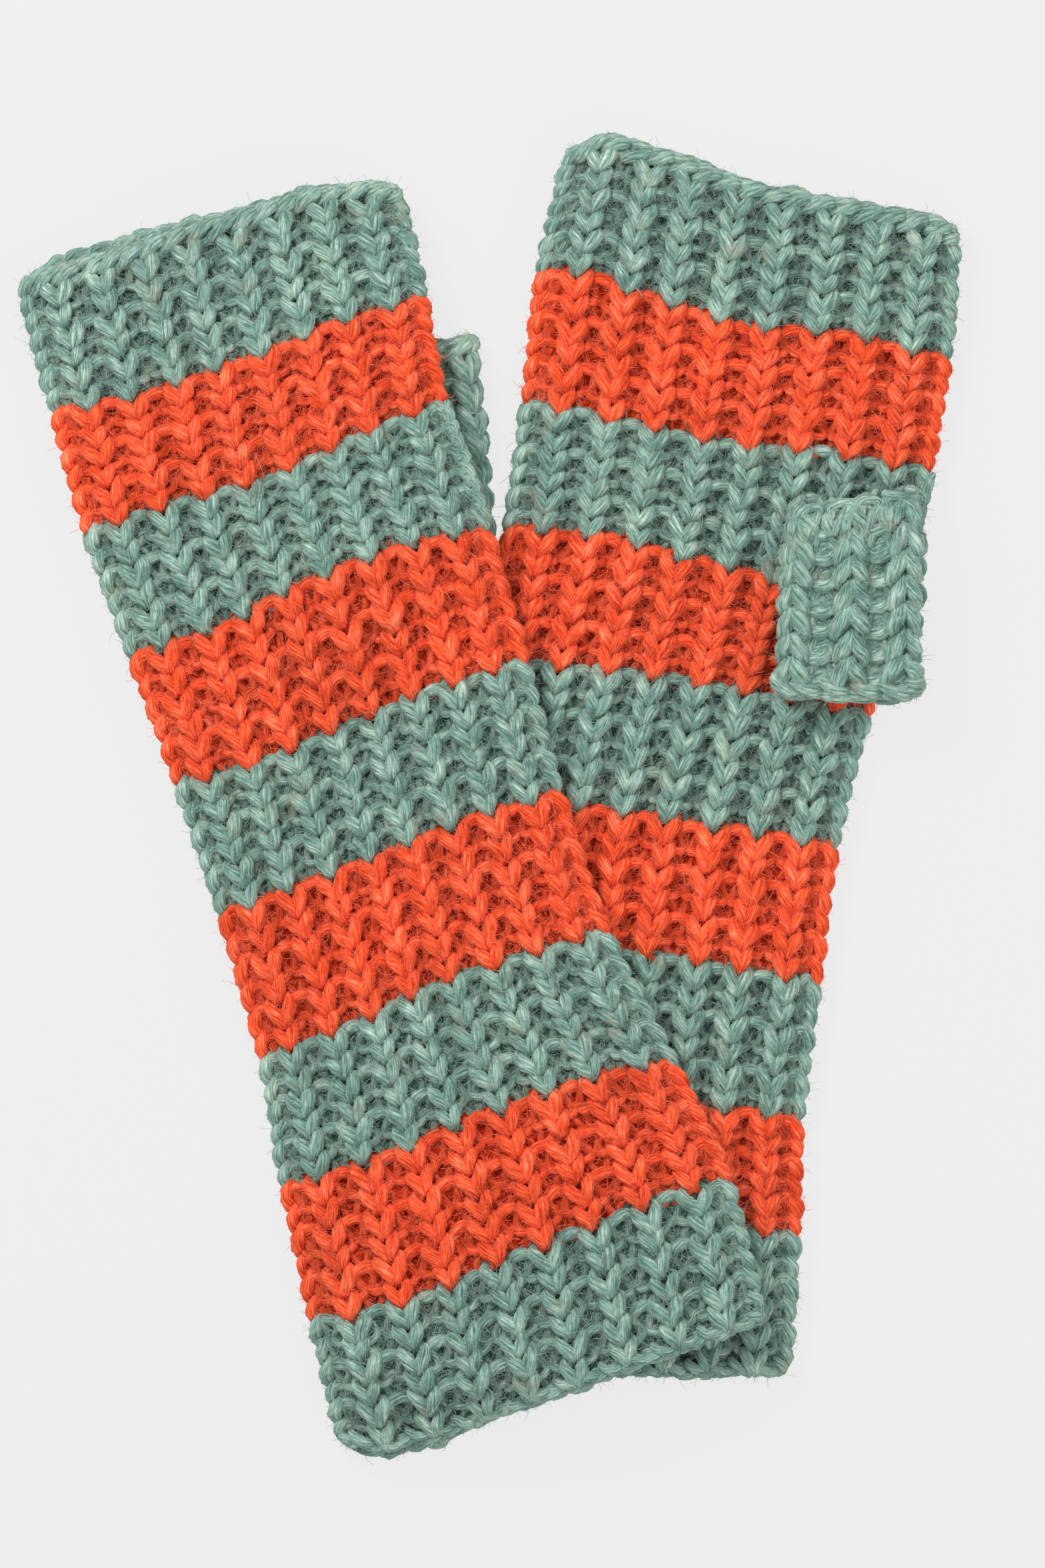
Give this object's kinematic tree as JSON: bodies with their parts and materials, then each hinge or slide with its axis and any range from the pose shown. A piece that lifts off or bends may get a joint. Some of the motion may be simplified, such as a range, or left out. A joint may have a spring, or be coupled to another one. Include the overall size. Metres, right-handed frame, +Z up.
{
  "type": "fingerless gloves",
  "caption": "Pair of striped ribbed-knit fingerless gloves lying flat, partly overlapped, with thumb tubes and open finger and cuff ends.",
  "frame": {"origin": "middle of the pair's footprint, on the table it lies on", "axes": "+Z up from the table, +Y towards the finger ends, +X towards the right glove's thumb side"},
  "size_m": [0.2239, 0.3061, 0.0298],
  "materials": {
    "teal_wool": "heathered grey-green wool yarn in half-fisherman's rib, matte and slightly fuzzy",
    "orange_wool": "orange-red wool yarn in half-fisherman's rib, matte and slightly fuzzy"
  },
  "bodies": {
    "right_glove": {"right_cuff_band": "teal_wool", "right_cuff_edge": "teal_wool", "right_finger_band_under": "teal_wool", "right_finger_edge_under": "teal_wool", "right_orange_carried_yarn": "orange_wool", "right_side_seam_cuff": "teal_wool", "right_side_seam_hand": "teal_wool", "right_stripe_2_orange": "orange_wool", "right_stripe_3_teal": "teal_wool", "right_stripe_4_orange": "orange_wool", "right_stripe_5_teal": "teal_wool", "right_stripe_6_orange": "orange_wool", "right_stripe_7_teal": "teal_wool", "right_stripe_8_orange": "orange_wool", "right_teal_carried_yarn": "teal_wool", "right_thumb_join": "teal_wool"},
    "right_thumb": {"right_thumb_edge": "teal_wool", "right_thumb_tube": "teal_wool"},
    "right_finger_lip": {"right_finger_band_top": "teal_wool", "right_finger_edge_top": "teal_wool"},
    "left_glove": {"left_cuff_band_under": "teal_wool", "left_cuff_edge_under": "teal_wool", "left_cuff_orange_carried_yarn": "orange_wool", "left_cuff_teal_carried_yarn": "teal_wool", "left_side_seam_cuff": "teal_wool", "left_stripe_4_orange": "orange_wool", "left_stripe_5_teal": "teal_wool", "left_stripe_6_orange": "orange_wool", "left_stripe_7_teal": "teal_wool", "left_stripe_8_orange": "orange_wool"},
    "left_hand": {"left_finger_band_under": "teal_wool", "left_finger_edge_under": "teal_wool", "left_hand_orange_carried_yarn": "orange_wool", "left_hand_teal_carried_yarn": "teal_wool", "left_side_seam_hand": "teal_wool", "left_stripe_2_orange": "orange_wool", "left_stripe_3_teal": "teal_wool", "left_thumb_join": "teal_wool"},
    "left_thumb": {"left_thumb_edge": "teal_wool", "left_thumb_tube": "teal_wool"},
    "left_finger_lip": {"left_finger_band_top": "teal_wool", "left_finger_edge_top": "teal_wool"},
    "left_cuff_lip": {"left_cuff_band_top": "teal_wool", "left_cuff_edge_top": "teal_wool"}
  },
  "joints": [
    {"name": "right_thumb_swing", "type": "hinge", "parent": "right_glove", "child": "right_thumb", "pos_m": [0.1018, 0.069, 0.013], "axis": [0.0739, 0, 0.9973], "range_deg": [-8, 95]},
    {"name": "right_finger_mouth", "type": "hinge", "parent": "right_glove", "child": "right_finger_lip", "pos_m": [0.0602, 0.11435, 0.01453], "axis": [0.9789, -0.2043, 0], "range_deg": [0, 35]},
    {"name": "left_glove_lift", "type": "slide", "parent": "right_glove", "child": "left_glove", "axis": [0, 0, 1], "range_m": [0, 0.08]},
    {"name": "left_wrist_fold", "type": "hinge", "parent": "left_glove", "child": "left_hand", "pos_m": [-0.04215, 0.0489, 0.02579], "axis": [0.939, 0.3291, 0.0995], "range_deg": [0, 100]},
    {"name": "left_thumb_swing", "type": "hinge", "parent": "left_hand", "child": "left_thumb", "pos_m": [-0.001, 0.064, 0.0055], "axis": [0, 0, 1], "range_deg": [-3, 10]},
    {"name": "left_finger_mouth", "type": "hinge", "parent": "left_hand", "child": "left_finger_lip", "pos_m": [-0.05905, 0.10555, 0.02578], "axis": [0.9526, 0.2874, 0.0995], "range_deg": [0, 35]},
    {"name": "left_cuff_mouth", "type": "hinge", "parent": "left_glove", "child": "left_cuff_lip", "pos_m": [0.00745, -0.1057, 0.02971], "axis": [-0.948, -0.3169, -0.03], "range_deg": [0, 35]}
  ]
}
